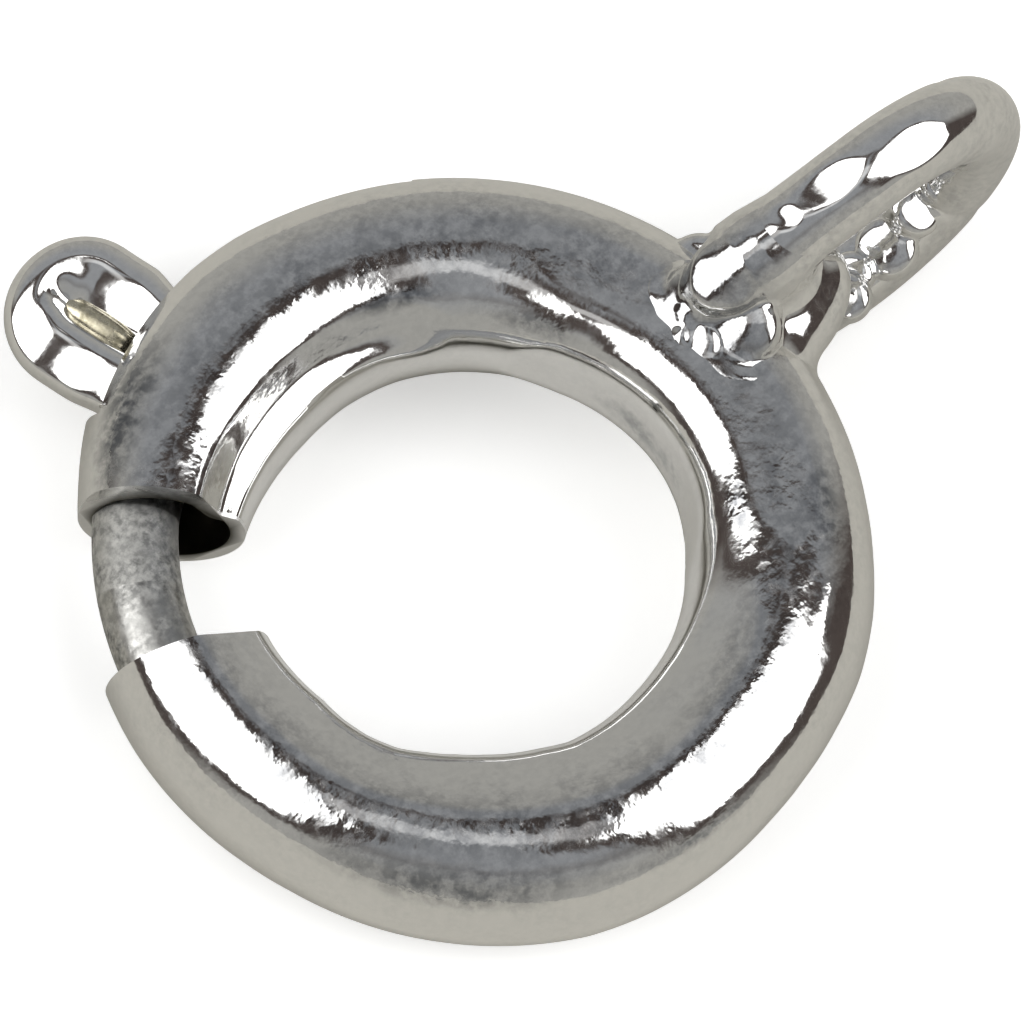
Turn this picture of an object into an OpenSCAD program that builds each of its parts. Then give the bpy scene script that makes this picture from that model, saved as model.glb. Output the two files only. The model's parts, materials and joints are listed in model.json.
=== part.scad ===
// Spring ring clasp: a hollow ring with a mouth that a sprung bolt closes, a thumb
// knob to draw the bolt back, and an eye of wire soldered to the ring.
// Millimetres, +Z up. The origin is the centre of the ring and +X runs towards the eye.
// Directions round the ring are degrees, counted from the eye and seen from above.
// The clasp lies as it does on a table: on the ring's far side and the eye's lower strand.

/* [Ring tube] */
// Outside diameter of the ring
ring_od = 7; // [6:0.1:12]
// Outside diameter of the tube that is bent into the ring
tube_d = 1.64; // [1.56:0.02:2.2]
// Thickness of the tube's wall
tube_wall = 0.15; // [0.12:0.01:0.2]
// Width of the mouth, along the tube's centreline
mouth = 1.26; // [0.8:0.02:1.5]
// Direction of the middle of the mouth
mouth_dir = 144; // [140:1:156]

/* [Bolt] */
// Diameter of the bolt that closes the mouth
bolt_d = 0.76; // [0.6:0.02:0.8]
// How far the closed bolt reaches into the catch side of the tube
catch_depth = 0.36; // [0.2:0.02:0.5]
// How far the bolt reaches back behind the knob
bolt_tail = 0.16; // [0.1:0.02:0.4]
// Radius of the dome on the bolt's tip
tip_dome = 0.5; // [0.45:0.01:0.8]

/* [Thumb knob] */
// Diameter of the knob's wire
knob_wire = 0.62; // [0.5:0.02:0.66]
// Gap between the two legs of the knob
knob_crease = 0.07; // [0.04:0.01:0.12]
// How far the knob stands out of the ring
knob_reach = 1.26; // [1:0.02:1.6]
// Direction of the knob with the bolt shut
knob_dir = 103.5; // [100:0.5:108]
// Diameter of the peg under each leg
peg_d = 0.26; // [0.2:0.02:0.32]
// How far each peg goes into the bolt, from the bolt's own centreline
peg_depth = 0.1; // [0:0.02:0.2]

/* [Eye] */
// Diameter of the eye's wire
eye_wire = 0.8; // [0.6:0.02:0.9]
// Radius of the eye's round end, at the middle of the wire
eye_radius = 1.26; // [1:0.02:1.5]
// How far the eye stands out of the ring
eye_reach = 2.92; // [2.6:0.02:4]
// How much thinner the wire is in the eye's two legs than round its end
leg_thinning = 0.02; // [0.01:0.01:0.06]
// Where each foot of the eye meets the tube, in degrees above the ring's plane
eye_foot = 64; // [50:1:70]

/* [Solder] */
// Radius of the largest bead of solder over each foot
solder_bead = 0.46; // [0.42:0.01:0.52]

/* [Spring] */
// Diameter of the spring's wire
spring_wire = 0.16; // [0.1:0.02:0.2]
// Number of turns
spring_turns = 16; // [10:1:18]
// Direction of the wall in the tube that the spring bears on
stop_dir = -70; // [-90:1:-50]
// Thickness of that wall
stop_wall = 0.3; // [0.2:0.02:0.6]

/* [Clearances] */
// Running clearance of the bolt in the tube, and of the knob in its slot
running = 0.04; // [0.03:0.01:0.07]
// Gap between pieces that sit against each other
seat = 0.02; // [0.01:0.01:0.04]

/* [Hidden] */
$fn = 96;

// Ring tube: radius of its centreline, of its outside and of its bore
ring_r = (ring_od - tube_d) / 2;
tube_r = tube_d / 2;
bore_r = tube_r - tube_wall;
function turn(length, radius) = length / radius * 180 / PI;
case_end = mouth_dir - turn(mouth, ring_r) / 2;
catch_end = mouth_dir + turn(mouth, ring_r) / 2;
past_end = 2;

// Bolt: it runs along the outer side of the bore
bolt_r = bolt_d / 2;
bolt_arc_r = ring_r + bore_r - running - bolt_r;
bolt_tip_dir = catch_end + turn(catch_depth, bolt_arc_r);

// Knob: a hairpin of wire, its legs side by side in the ring's plane
leg_r = knob_wire / 2;
leg_off = (knob_wire + knob_crease) / 2;
knob_half = leg_off + leg_r;
bend_x = ring_od / 2 + knob_reach - knob_half;
bolt_tail_dir = knob_dir - turn(knob_half + bolt_tail, bolt_arc_r);

// Travel: the open bolt's tip stands one degree inside the case's end
open_inset = 1;
travel = bolt_tip_dir - case_end + open_inset;

// Slot: on the outer side of the tube, as long as the knob's travel
slot_w = knob_wire + 2 * running;
slot_half = asin((knob_half + running) / (ring_r + bore_r / 2));
slot_from = knob_dir - travel - slot_half;
slot_to = knob_dir + slot_half;

// Eye: a round end and two legs that run tangent from it, starting just inside it, to the feet
eye_r = eye_wire / 2;
leg_lap = eye_r / 8;
eye_x = ring_od / 2 + eye_reach - eye_r - eye_radius;
foot_x = ring_r + tube_r * cos(eye_foot);
foot_z = tube_r * sin(eye_foot);
foot_far = norm([eye_x - foot_x, foot_z]);
leg_slope = 90 - atan2(foot_z, eye_x - foot_x) - acos(eye_radius / foot_far);
leg_length = sqrt(foot_far ^ 2 - eye_radius ^ 2);

// Spring: it fills the bore from the stop to the bolt's tail
coil_r = bore_r - running - spring_wire / 2;
stop_half = turn(stop_wall, ring_r) / 2;
spring_from = stop_dir + stop_half + turn(seat + spring_wire / 2, ring_r);
spring_to = bolt_tail_dir - turn(seat + spring_wire / 2, ring_r);
spring_steps = 12;
spring_sides = 6;

// Rest: how far the eye's lower strand lifts its end of the ring
rest_tilt = asin(max(0, eye_radius + eye_r - tube_r) / (ring_r + eye_x));

// Turns the clasp from the ring's own plane to the way that it lies
module at_rest() {
    rotate([0, -rest_tilt, 0]) children();
}

// A stretch of bent round bar, from one direction round the ring to another
module bent_bar(arc_r, bar_r, from, to) {
    rotate([0, 0, from])
        rotate_extrude(angle = to - from)
            translate([arc_r, 0]) circle(r = bar_r);
}

// The eye's wire, drawn flat: the round end and both legs, run on into the tube's wall
module eye_loop() {
    translate([eye_x, 0])
        rotate([0, 0, -90 - leg_slope])
            rotate_extrude(angle = 180 + 2 * leg_slope)
                translate([eye_radius, 0]) circle(r = eye_r);
    for (side = [-1, 1])
        translate([eye_x, 0])
            rotate([0, 0, side * (90 + leg_slope)])
                translate([eye_radius, -side * leg_lap])
                    rotate([side * -90, 0, 0])
                        cylinder(d = eye_wire - leg_thinning, h = leg_lap + leg_length + tube_wall);
}

// Beads of solder over each foot. Columns: outward from the foot, sideways, up and radius,
// all as shares of the largest bead's radius
BEADS = [
    [-0.14, 0, -0.05, 1],
    [0.45, 0.75, -0.45, 1],
    [1.15, 0.35, 0.2, 0.95],
    [-0.97, 0.6, 0, 0.55],
    [-0.68, -0.5, 0.1, 0.6]
];
module solder() {
    for (side = [-1, 1], bead = BEADS * solder_bead)
        translate([foot_x + bead[0], bead[1], side * (foot_z + bead[2])])
            sphere(r = bead[3]);
}

module ring_case() {
    color([0.82, 0.82, 0.8])
    at_rest() difference() {
        union() {
            bent_bar(ring_r, tube_r, catch_end - 360, case_end);
            rotate([90, 0, 0]) eye_loop();
            solder();
        }
        bent_bar(ring_r, bore_r, stop_dir + stop_half, case_end + past_end);
        bent_bar(ring_r, bore_r, catch_end - past_end - 360, stop_dir - stop_half);
        rotate([0, 0, slot_from])
            rotate_extrude(angle = slot_to - slot_from)
                translate([ring_r + bore_r / 2, -slot_w / 2]) square([tube_r, slot_w]);
    }
}

// The two pegs of the knob, made wider and longer by a gap for the holes that they sit in
module pegs(gap) {
    rotate([0, 0, knob_dir])
        for (side = [-1, 1])
            translate([bolt_arc_r - peg_depth - gap, side * leg_off, 0])
                rotate([0, 90, 0]) cylinder(d = peg_d + 2 * gap, h = peg_depth + gap + bolt_r + leg_r);
}

module bolt() {
    tip_length = tip_dome - sqrt(tip_dome ^ 2 - bolt_r ^ 2);
    tip_from = bolt_tip_dir - turn(2 * tip_length, bolt_arc_r);
    color([0.66, 0.66, 0.65])
    at_rest() difference() {
        bent_bar(bolt_arc_r, bolt_r, bolt_tail_dir, bolt_tip_dir);
        difference() {
            bent_bar(bolt_arc_r, bolt_d, tip_from, bolt_tip_dir + past_end);
            rotate([0, 0, bolt_tip_dir]) translate([bolt_arc_r, -tip_dome, 0]) sphere(r = tip_dome);
        }
        pegs(seat);
    }
}

module thumb_knob() {
    color([0.85, 0.84, 0.8])
    at_rest() {
        difference() {
            rotate([0, 0, knob_dir]) {
                translate([bend_x, 0]) rotate([0, 0, -90])
                    rotate_extrude(angle = 180) translate([leg_off, 0]) circle(r = leg_r);
                for (side = [-1, 1])
                    translate([bolt_arc_r, side * leg_off, 0])
                        rotate([0, 90, 0]) cylinder(r = leg_r, h = bend_x - bolt_arc_r);
            }
            bent_bar(bolt_arc_r, bolt_r + seat, bolt_tail_dir, knob_dir + 2 * slot_half);
        }
        pegs(0);
    }
}

// A point on the surface of the spring's wire: step along the spring, side round the wire
function coil_point(step, side) =
    let (share = step / (spring_turns * spring_steps),
         dir = spring_from + (spring_to - spring_from) * share,
         wind = 360 * step / spring_steps,
         out = [cos(dir), sin(dir), 0],
         along = [-sin(dir), cos(dir), 0],
         away = cos(wind) * out + [0, 0, sin(wind)],
         onward = [0, 0, cos(wind)] - sin(wind) * out,
         advance = (spring_to - spring_from) / (360 * spring_turns),
         heading = coil_r * onward + (ring_r + coil_r * cos(wind)) * advance * along,
         across = cross(heading / norm(heading), away),
         at = 360 * side / spring_sides)
    ring_r * out + coil_r * away + spring_wire / 2 * (cos(at) * away + sin(at) * across);

module spring() {
    last = spring_turns * spring_steps;
    points = [for (step = [0:last], side = [0:spring_sides - 1]) coil_point(step, side)];
    walls = [for (step = [0:last - 1], side = [0:spring_sides - 1])
        let (a = step * spring_sides, next = (side + 1) % spring_sides)
        [a + side, a + spring_sides + side, a + spring_sides + next, a + next]];
    caps = [[for (side = [0:spring_sides - 1]) side],
            [for (side = [spring_sides - 1:-1:0]) last * spring_sides + side]];
    color([0.6, 0.58, 0.52]) at_rest() polyhedron(points, concat(walls, caps), convexity = 10);
}

ring_case();
bolt();
thumb_knob();
spring();
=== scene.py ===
import json
import math

import bpy
import numpy as np
from mathutils import Matrix, Vector


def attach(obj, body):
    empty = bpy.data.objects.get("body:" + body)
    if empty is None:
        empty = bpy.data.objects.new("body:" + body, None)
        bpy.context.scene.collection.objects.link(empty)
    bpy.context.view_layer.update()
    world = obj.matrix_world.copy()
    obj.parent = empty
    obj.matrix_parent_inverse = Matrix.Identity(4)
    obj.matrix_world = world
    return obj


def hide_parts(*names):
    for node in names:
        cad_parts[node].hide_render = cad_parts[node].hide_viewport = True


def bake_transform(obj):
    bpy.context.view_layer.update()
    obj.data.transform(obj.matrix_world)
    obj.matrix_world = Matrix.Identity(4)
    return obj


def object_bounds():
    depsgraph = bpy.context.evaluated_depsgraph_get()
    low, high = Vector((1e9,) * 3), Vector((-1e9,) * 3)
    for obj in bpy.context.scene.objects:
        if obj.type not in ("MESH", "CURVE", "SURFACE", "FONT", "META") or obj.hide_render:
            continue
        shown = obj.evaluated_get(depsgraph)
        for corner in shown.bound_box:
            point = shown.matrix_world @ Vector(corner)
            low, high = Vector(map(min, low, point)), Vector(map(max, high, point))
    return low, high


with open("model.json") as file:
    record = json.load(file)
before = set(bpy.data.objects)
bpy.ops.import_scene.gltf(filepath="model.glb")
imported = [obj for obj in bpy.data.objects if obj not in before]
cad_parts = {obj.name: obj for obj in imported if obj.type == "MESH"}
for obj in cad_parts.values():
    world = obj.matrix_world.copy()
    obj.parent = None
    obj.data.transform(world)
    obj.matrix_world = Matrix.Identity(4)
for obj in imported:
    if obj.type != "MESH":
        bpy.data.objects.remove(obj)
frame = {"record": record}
cad_low, cad_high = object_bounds()

# Ring tube
RING_R = 2.68
TUBE_R = 0.82
BORE_R = 0.67
CASE_END = 130.53
CATCH_END = 157.47
SLOT_FROM, SLOT_TO = 55.25, 116.75
SLOT_WIDTH = 0.7
STOP_DIR = -70
STOP_WALL = 0.3
PAST_END = 3

# Bolt and knob
BOLT_R = 0.38
BOLT_ARC_R = 2.93
BOLT_TAIL, BOLT_TIP = 87.6, 164.5
TIP_DOME = 0.5
KNOB_DIR = 103.5
KNOB_WIRE_R = 0.31
KNOB_LEG_OFF = 0.345
KNOB_BEND_X = 4.105
KNOB_LEG_SHORT = 0.15

# Eye
EYE_R = 0.4
EYE_RADIUS = 1.26
EYE_X = 4.76
FOOT_X, FOOT_Z = 3.0395, 0.737
# The eye leans sideways, so much for each mm outwards, about this place
EYE_LEAN, LEAN_CENTRE = 0.085, 4.9

# The eye's legs run tangent from its round end, this steeply and from this place, to their feet
FOOT_FAR = math.hypot(EYE_X - FOOT_X, FOOT_Z)
LEG_SLOPE = math.pi / 2 - math.atan2(FOOT_Z, EYE_X - FOOT_X) - math.acos(EYE_RADIUS / FOOT_FAR)
LEG_LENGTH = math.sqrt(FOOT_FAR ** 2 - EYE_RADIUS ** 2)
# The share of each leg, from its foot, where no wire is drawn because solder hides it
LEG_HIDDEN = 0.42
LEG_X, LEG_Z = EYE_X - EYE_RADIUS * math.sin(LEG_SLOPE), EYE_RADIUS * math.cos(LEG_SLOPE)


def eye_side(out):
    """How far the leaning eye stands to the side at this distance out."""
    return (LEAN_CENTRE - out) * EYE_LEAN


# Spring
SPRING_WIRE_R = 0.08
SPRING_COIL_R = 0.55
SPRING_TURNS = 16
SPRING_STEPS_A_TURN = 36
SPRING_FROM, SPRING_TO = -64.66, 85.42

MM = 0.001

# The way that the clasp lies: the ring's axis leans away from the eye
ring_axis = Vector(next(m for m in frame["record"]["mounts"] if m["name"] == "ring_opening")["axis"])
rest_tilt = math.atan2(-ring_axis.x, ring_axis.z)
LIE = Matrix.Rotation(-rest_tilt, 4, "Y") @ Matrix.Scale(MM, 4)


def add_object(name, data):
    made = bpy.data.objects.new(name, data)
    bpy.context.scene.collection.objects.link(made)
    return made


# Node helpers, for trees of geometry and of shading alike
def node(tree, kind, inputs=None, **settings):
    """Adds a node; inputs are given by socket name or number, as a value or as another socket."""
    made = tree.nodes.new(kind)
    for name, value in settings.items():
        setattr(made, name, value)
    for name, value in (inputs or {}).items():
        if isinstance(value, bpy.types.NodeSocket):
            tree.links.new(value, made.inputs[name])
        else:
            made.inputs[name].default_value = value
    return made


def calc(tree, operation, a, b=0.0, c=0.0):
    return node(tree, "ShaderNodeMath", {0: a, 1: b, 2: c}, operation=operation).outputs[0]


def vector_of(tree, x=0.0, y=0.0, z=0.0):
    return node(tree, "ShaderNodeCombineXYZ", {0: x, 1: y, 2: z}).outputs[0]


# Camera: a long lens that leans off the ring's axis as the photograph's does
IMAGE = 1024
PX_PER_MM = 114.8
RING_PX = (474.0, 562.5)
LENS, SENSOR = 600.0, 36.0
LEAN = math.radians(21.1)
LEAN_SIDE = math.radians(-10)
EYE_TURN = 43.9


def photo_axes():
    """Right, up and towards the camera, in the frame's own axes."""
    aside = math.sin(LEAN)
    back = Vector((aside * math.sin(LEAN_SIDE), -aside * math.cos(LEAN_SIDE), math.cos(LEAN)))
    right = Vector((0, 1, 0)).cross(back).normalized()
    up = back.cross(right)
    turn = LIE.to_3x3().normalized() @ Matrix.Rotation(math.radians(-EYE_TURN), 3, "Z")
    return [turn @ v for v in (right, up, back)]


right, up, back = photo_axes()


def make_camera():
    data = bpy.data.cameras.new("studio_camera")
    data.sensor_width = SENSOR
    data.lens = LENS
    data.clip_start, data.clip_end = 0.01, 10
    camera = add_object("studio_camera", data)
    side = (IMAGE / 2 - RING_PX[0]) / PX_PER_MM * MM
    rise = (RING_PX[1] - IMAGE / 2) / PX_PER_MM * MM
    distance = IMAGE / PX_PER_MM * MM * LENS / SENSOR
    place = right * side + up * rise + back * distance
    camera.matrix_world = Matrix.Translation(place) @ Matrix((right, up, back)).transposed().to_4x4()
    bpy.context.scene.camera = camera


make_camera()


# Materials
def shader_start(name):
    made = bpy.data.materials.new(name)
    made.use_nodes = True
    made.node_tree.nodes.clear()
    tree = made.node_tree
    bsdf = node(tree, "ShaderNodeBsdfPrincipled")
    node(tree, "ShaderNodeOutputMaterial", {"Surface": bsdf.outputs[0]})
    place = node(tree, "ShaderNodeTexCoord").outputs["Object"]
    in_mm = node(tree, "ShaderNodeMapping", {"Vector": place, "Scale": (1 / MM,) * 3}).outputs[0]
    return made, tree, bsdf, in_mm


def spread(tree, value, low, high, to_low=0.0, to_high=1.0):
    return node(tree, "ShaderNodeMapRange", {"Value": value, "From Min": low, "From Max": high,
                                             "To Min": to_low, "To Max": to_high}).outputs[0]


def noise(tree, place, grain):
    """Noise of one grain: how many in a mm, detail, roughness, and how far it is shifted aside."""
    per_mm, detail, rough, shift = grain
    aside = (shift, shift * 0.7, -shift)
    moved = node(tree, "ShaderNodeVectorMath", {0: place, 1: aside}, operation="ADD").outputs[0]
    return node(tree, "ShaderNodeTexNoise",
                {"Vector": moved, "Scale": per_mm, "Detail": detail, "Roughness": rough}).outputs[0]


def kept(tree, name, output="Fac"):
    """What a mesh keeps at each point under this name."""
    return node(tree, "ShaderNodeAttribute", attribute_name=name).outputs[output]


def mixed(tree, share, a, b):
    """Runs from one colour to another; each is given as red, green and blue or as a socket."""
    a, b = (c if isinstance(c, bpy.types.NodeSocket) else (*c, 1) for c in (a, b))
    return node(tree, "ShaderNodeMix", {0: share, 6: a, 7: b}, data_type="RGBA").outputs[2]


def product(tree, *factors):
    whole = factors[0]
    for factor in factors[1:]:
        whole = calc(tree, "MULTIPLY", whole, factor)
    return whole


# The plate's marks: the grain of each one's noise, and the levels of noise between which it comes in
# (and what they become, where that isn't 0 and 1) or its height
CLOUD_GRAIN, CLOUD_LEVELS = (2.2, 2.0, 0.55, 0.0), (0.35, 0.62, 0.3, 1.0)
SPECK_GRAIN, SPECK_LEVELS = (13.0, 3.0, 0.65, 3.0), (0.38, 0.64)
HAZE_GRAIN, HAZE_LEVELS = (8.0, 2.5, 0.6, 11.0), (0.48, 0.64)
BLOT_GRAIN, BLOT_LEVELS = (6.0, 3.0, 0.6, 17.0), (0.42, 0.58, 0.35, 1.0)
WAVE_GRAIN, WAVE_HEIGHT = (1.6, 1.0, 0.4, 7.0), 1.2
PIT_GRAIN, PIT_HEIGHT = (8.0, 2.5, 0.55, 5.0), 1.6
FINE_GRAIN, FINE_HEIGHT = (8.0, 2.0, 0.55, 0.0), 0.12
RELIEF_STRENGTH, RELIEF_DEPTH = 0.3, 0.00002
# Tarnish, partly painted dark reflection: its colour, the levels of the wear-and-reflection mask where it
# starts and where it is thickest, and its most
TARNISH_AND_DARK_REFLECTION, TARNISH_MASK_LEVELS, TARNISH_MOST = (0.10, 0.11, 0.13), (0.3, 0.9), 0.85
# Painted shade: the bore is painted this dark brown in place of the shade inside the tube
BORE_PAINTED_SHADE = (0.06, 0.055, 0.04)
HAZE_ROUGHER = 0.30
# The cut end of the case, as places along the tube in mm
CASE_RIM = math.radians(CASE_END) * RING_R
RIM_FROM, RIM_TO = CASE_RIM - 0.05, CASE_RIM - 0.02


def plated_silver(name, bright=(0.88, 0.875, 0.86), dull_and_painted_dark=(0.30, 0.305, 0.325), mottled=0.85, rough=0.07,
                  uneven=1.0, least_wear_and_reflection=0.12):
    """Bright plate, finely mottled, and darker in patches that stand for wear and for painted dark
    reflection; there it is also tarnished, hazy and pitted. The bore is painted dark brown as shade, and it
    and the case's rim are hazy."""
    made, tree, bsdf, in_mm = shader_start(name)
    wear_and_dark_reflection, bore = kept(tree, "wear_and_dark_reflection"), kept(tree, "bore")
    cloud = spread(tree, noise(tree, in_mm, CLOUD_GRAIN), *CLOUD_LEVELS)
    patch = product(tree, calc(tree, "MAXIMUM", wear_and_dark_reflection, least_wear_and_reflection), cloud)
    specks = spread(tree, noise(tree, in_mm, SPECK_GRAIN), *SPECK_LEVELS)
    haze = spread(tree, noise(tree, in_mm, HAZE_GRAIN), *HAZE_LEVELS)
    blots = spread(tree, noise(tree, in_mm, BLOT_GRAIN), *BLOT_LEVELS)
    # Wear and painted dark reflection: the dull colour is mixed in where the mask is high
    plate = mixed(tree, product(tree, patch, specks, mottled), bright, dull_and_painted_dark)
    # Darker tarnish blots, partly painted dark reflection
    tarnish_and_dark_reflection = product(tree, spread(tree, wear_and_dark_reflection, *TARNISH_MASK_LEVELS), blots, TARNISH_MOST)
    # The bore is painted dark brown: painted shade inside the tube
    plate = mixed(tree, bore, mixed(tree, tarnish_and_dark_reflection, plate, TARNISH_AND_DARK_REFLECTION), BORE_PAINTED_SHADE)
    tree.links.new(plate, bsdf.inputs["Base Color"])
    bsdf.inputs["Metallic"].default_value = 1.0
    along = node(tree, "ShaderNodeSeparateXYZ", {0: kept(tree, "unrolled", "Vector")}).outputs["X"]
    rim = spread(tree, along, RIM_FROM, RIM_TO)
    hazy = calc(tree, "MAXIMUM", product(tree, patch, haze, mottled), rim)
    hazy = calc(tree, "MAXIMUM", hazy, bore)
    tree.links.new(spread(tree, hazy, 0.0, 1.0, rough, rough + HAZE_ROUGHER), bsdf.inputs["Roughness"])
    waves = product(tree, noise(tree, in_mm, WAVE_GRAIN), WAVE_HEIGHT)
    pits = product(tree, noise(tree, in_mm, PIT_GRAIN), patch, PIT_HEIGHT)
    fine = product(tree, noise(tree, in_mm, FINE_GRAIN), FINE_HEIGHT)
    relief = calc(tree, "ADD", calc(tree, "ADD", waves, pits), fine)
    bump = node(tree, "ShaderNodeBump", {"Height": relief, "Strength": RELIEF_STRENGTH * uneven,
                                         "Distance": RELIEF_DEPTH}).outputs[0]
    tree.links.new(bump, bsdf.inputs["Normal"])
    return made


silver_ring = plated_silver("silver_plate_ring")
silver_eye = plated_silver("silver_plate_eye", uneven=0.3, least_wear_and_reflection=0.35)
silver_solder = plated_silver("silver_solder", uneven=0.6, least_wear_and_reflection=0.4)
silver_bolt = plated_silver("worn_plate_bolt", bright=(0.56, 0.555, 0.53), dull_and_painted_dark=(0.16, 0.16, 0.155),
                            mottled=1.0, rough=0.3, least_wear_and_reflection=0.9)
silver_knob = plated_silver("silver_plate_knob", uneven=0.45, least_wear_and_reflection=0.25)
# Brass painted mostly in its dull dark olive: painted shade in the crease between the knob's legs
brass_with_painted_crease_shade = plated_silver("brass_with_painted_crease_shade", bright=(0.70, 0.65, 0.50), dull_and_painted_dark=(0.16, 0.14, 0.07), mottled=0.9,
                           rough=0.25, least_wear_and_reflection=0.9)
spring_steel = plated_silver("drawn_spring_wire", bright=(0.55, 0.54, 0.52), dull_and_painted_dark=(0.3, 0.29, 0.27),
                             rough=0.25)


# Geometry trees
def start_tree(name, sizes):
    """A Geometry Nodes tree with named inputs; returns it and the sockets of its inputs."""
    tree = bpy.data.node_groups.new(name, "GeometryNodeTree")
    for label, value in sizes.items():
        socket = tree.interface.new_socket(label, in_out="INPUT", socket_type="NodeSocketFloat")
        socket.default_value = value
    tree.interface.new_socket("Geometry", in_out="OUTPUT", socket_type="NodeSocketGeometry")
    return tree, node(tree, "NodeGroupInput").outputs


def grow(name, tree, shape, material, sizes):
    """Ends the tree, evaluates it with these sizes and returns the result as a plain mesh object."""
    real = node(tree, "GeometryNodeRealizeInstances", {"Geometry": shape}).outputs[0]
    made = node(tree, "GeometryNodeSetMaterial", {"Geometry": real, "Material": material}).outputs[0]
    node(tree, "NodeGroupOutput", {0: made})
    holder = add_object(name + "_tree", bpy.data.meshes.new(name + "_tree"))
    modifier = holder.modifiers.new("shape", "NODES")
    modifier.node_group = tree
    for item in tree.interface.items_tree:
        if item.in_out == "INPUT":
            modifier[item.identifier] = float(sizes[item.name])
    graph = bpy.context.evaluated_depsgraph_get()
    mesh = bpy.data.meshes.new_from_object(holder.evaluated_get(graph), depsgraph=graph)
    bpy.data.objects.remove(holder)
    return add_object(name, mesh)


def fine_line(tree, points):
    """A line of so many points, whose shares from 0 to 1 the caller turns into a path."""
    line = node(tree, "GeometryNodeCurvePrimitiveLine", {"Start": (0, 0, 0), "End": (1, 0, 0)}).outputs[0]
    fine = node(tree, "GeometryNodeResampleCurve", {"Curve": line, "Count": points}).outputs[0]
    return fine, node(tree, "GeometryNodeSplineParameter").outputs["Factor"]


def on_arc(tree, share, start, end, arc_r, height=0.0):
    """The place at this share of the way round the ring from start to end, in degrees."""
    turn = calc(tree, "MULTIPLY_ADD", share, calc(tree, "SUBTRACT", end, start), start)
    direction = calc(tree, "RADIANS", turn)
    x = calc(tree, "MULTIPLY", calc(tree, "COSINE", direction), arc_r)
    y = calc(tree, "MULTIPLY", calc(tree, "SINE", direction), arc_r)
    return vector_of(tree, x, y, height)


def sweep(tree, line, place, profile, scale=1.0):
    path = node(tree, "GeometryNodeSetPosition", {"Geometry": line, "Position": place}).outputs[0]
    return node(tree, "GeometryNodeCurveToMesh",
                {"Curve": path, "Profile Curve": profile, "Scale": scale, "Fill Caps": True}).outputs[0]


def round_profile(tree, radius, sides):
    return node(tree, "GeometryNodeCurvePrimitiveCircle", {"Resolution": sides, "Radius": radius}).outputs[0]


def bent_bar(tree, start, end, arc_r, bar_r, steps, sides):
    line, share = fine_line(tree, points=steps)
    return sweep(tree, line, on_arc(tree, share, start, end, arc_r), round_profile(tree, bar_r, sides))


def turned_to(tree, shape, direction):
    """The shape, drawn towards the eye, turned about the ring's axis to this direction."""
    turn = vector_of(tree, 0.0, 0.0, calc(tree, "RADIANS", direction))
    return node(tree, "GeometryNodeTransform", {"Geometry": shape, "Rotation": turn}).outputs[0]


def ring_tube():
    """The hollow ring: a bent bar less its two bores, either side of the spring's stop, and less the slot."""
    half_stop = math.degrees(STOP_WALL / RING_R) / 2
    sizes = {"Ring radius": RING_R, "Tube radius": TUBE_R, "Bore radius": BORE_R, "Case end": CASE_END,
             "Catch end": CATCH_END - 360, "Past end": PAST_END, "Slot from": SLOT_FROM, "Slot to": SLOT_TO,
             "Slot width": SLOT_WIDTH, "Stop from": STOP_DIR - half_stop, "Stop to": STOP_DIR + half_stop}
    tree, size = start_tree("ring tube", sizes)
    ring_r = size["Ring radius"]
    before = calc(tree, "SUBTRACT", size["Catch end"], size["Past end"])
    after = calc(tree, "ADD", size["Case end"], size["Past end"])
    outside = bent_bar(tree, size["Catch end"], size["Case end"], ring_r, size["Tube radius"], steps=420,
                       sides=96)
    spring_side = bent_bar(tree, size["Stop to"], after, ring_r, size["Bore radius"], steps=200, sides=64)
    catch_side = bent_bar(tree, before, size["Stop from"], ring_r, size["Bore radius"], steps=130, sides=64)
    line, share = fine_line(tree, points=70)
    wide = node(tree, "GeometryNodeCurvePrimitiveQuadrilateral",
                {"Width": size["Slot width"], "Height": size["Tube radius"]}).outputs[0]
    reach = calc(tree, "ADD", ring_r, size["Tube radius"])
    slot = sweep(tree, line, on_arc(tree, share, size["Slot from"], size["Slot to"], reach), wide)
    cut = node(tree, "GeometryNodeMeshBoolean", {"Mesh 1": outside}, operation="DIFFERENCE",
               solver="MANIFOLD")
    for tool in (spring_side, catch_side, slot):
        tree.links.new(tool, cut.inputs["Mesh 2"])
    return grow("ring_tube", tree, cut.outputs[0], silver_ring, sizes)


def hairpin(tree, size, steps, sides, in_plane):
    """Wire with a round end of so many degrees each way and two straight legs that run on from it."""
    line, share = fine_line(tree, points=steps)
    half = calc(tree, "MULTIPLY_ADD", size["Bend radius"], calc(tree, "RADIANS", size["Bend each way"]),
                size["Leg length"])
    along = calc(tree, "MULTIPLY", calc(tree, "MULTIPLY_ADD", share, 2.0, -1.0), half)
    limit = calc(tree, "RADIANS", size["Bend each way"])
    turned = calc(tree, "DIVIDE", along, size["Bend radius"])
    turned = calc(tree, "MINIMUM", calc(tree, "MAXIMUM", turned, calc(tree, "MULTIPLY", limit, -1.0)), limit)
    straight = calc(tree, "SUBTRACT", along, calc(tree, "MULTIPLY", turned, size["Bend radius"]))
    cosine, sine = calc(tree, "COSINE", turned), calc(tree, "SINE", turned)
    out = calc(tree, "MULTIPLY_ADD", size["Bend radius"], cosine, size["Bend place"])
    out = calc(tree, "SUBTRACT", out, calc(tree, "MULTIPLY", straight, sine))
    across = calc(tree, "MULTIPLY_ADD", size["Bend radius"], sine, calc(tree, "MULTIPLY", straight, cosine))
    return sweep(tree, line, in_plane(out, across), round_profile(tree, size["Wire radius"], sides))


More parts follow.
